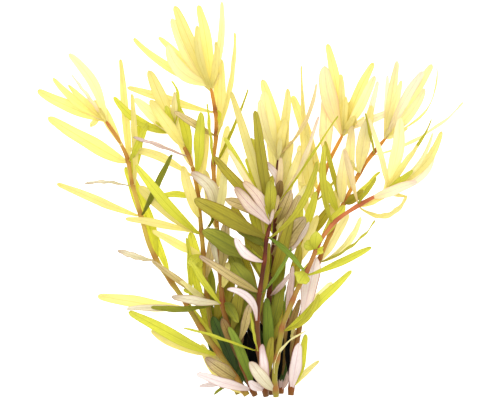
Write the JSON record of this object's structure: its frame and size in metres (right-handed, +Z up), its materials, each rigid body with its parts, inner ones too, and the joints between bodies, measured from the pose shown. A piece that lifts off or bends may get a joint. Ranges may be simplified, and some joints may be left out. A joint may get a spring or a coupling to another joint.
{
  "type": "rotala bunch",
  "caption": "Cut bunch of rotala, a narrow-leaved aquarium stem plant: red-brown stems with whorls of yellow-green leaves, lying on a surface.",
  "frame": {"origin": "on the surface that the bunch lies on, under the middle of its box", "axes": "+X across the fan of the stems, +Y along the stems away from the cut, +Z up"},
  "size_m": [0.216, 0.1987, 0.0541],
  "materials": {
    "leaf_yellow": "translucent yellow leaf, satin",
    "leaf_lime": "translucent lime green leaf, satin",
    "leaf_green": "dark green leaf, satin",
    "leaf_olive": "olive green leaf, satin",
    "leaf_khaki": "khaki leaf with a pinkish underside, satin",
    "leaf_rose": "pale rose leaf underside with fine veins, satin",
    "leaf_straw": "straw coloured leaf, satin",
    "stem_red": "smooth red-brown stem",
    "stem_ochre": "smooth ochre stem",
    "stem_dark": "smooth dark maroon stem",
    "stem_orange": "smooth orange-brown stem"
  },
  "bodies": {
    "root": {"stem_far_left": "stem_red", "stem_left": "stem_ochre", "stem_tall_left": "stem_orange", "stem_centre_front": "stem_dark", "stem_centre_back": "stem_dark", "stem_tall_right": "stem_orange", "stem_right": "stem_orange", "stem_far_right": "stem_red", "leaves_far_left_1": "leaf_lime", "leaves_far_left_2": "leaf_yellow", "leaves_far_left_3": "leaf_rose", "leaves_far_left_4": "leaf_yellow", "leaves_far_left_5": "leaf_rose", "leaves_far_left_6": "leaf_yellow", "leaves_left_1": "leaf_lime", "leaves_left_2": "leaf_yellow", "leaves_left_3": "leaf_yellow", "leaves_left_4": "leaf_lime", "leaves_left_5": "leaf_yellow", "leaves_left_6": "leaf_rose", "leaves_tall_left_1": "leaf_khaki", "leaves_tall_left_2": "leaf_rose", "leaves_tall_left_3": "leaf_rose", "leaves_tall_left_4": "leaf_rose", "leaves_tall_left_5": "leaf_olive", "leaves_tall_left_6": "leaf_khaki", "leaves_tall_left_7": "leaf_yellow", "leaves_centre_front_1": "leaf_lime", "leaves_centre_front_2": "leaf_rose", "leaves_centre_front_3": "leaf_khaki", "leaves_centre_front_4": "leaf_rose", "leaves_centre_front_5": "leaf_olive", "leaves_centre_back_1": "leaf_green", "leaves_centre_back_2": "leaf_rose", "leaves_centre_back_3": "leaf_khaki", "leaves_centre_back_4": "leaf_khaki", "leaves_centre_back_5": "leaf_rose", "leaves_tall_right_1": "leaf_rose", "leaves_tall_right_2": "leaf_lime", "leaves_tall_right_3": "leaf_yellow", "leaves_tall_right_4": "leaf_yellow", "leaves_right_1": "leaf_yellow", "leaves_right_2": "leaf_yellow", "leaves_right_3": "leaf_straw", "leaves_right_4": "leaf_straw", "leaves_right_5": "leaf_yellow", "leaves_far_right_1": "leaf_olive", "leaves_far_right_2": "leaf_lime", "leaves_far_right_3": "leaf_lime", "leaves_far_right_4": "leaf_olive", "leaves_far_right_5": "leaf_yellow", "crown_far_left": "leaf_yellow", "crown_left": "leaf_yellow", "crown_tall_left": "leaf_yellow", "crown_centre_front": "leaf_rose", "crown_centre_back": "leaf_yellow", "crown_tall_right": "leaf_yellow", "crown_right": "leaf_straw", "crown_far_right": "leaf_straw"}
  },
  "joints": []
}
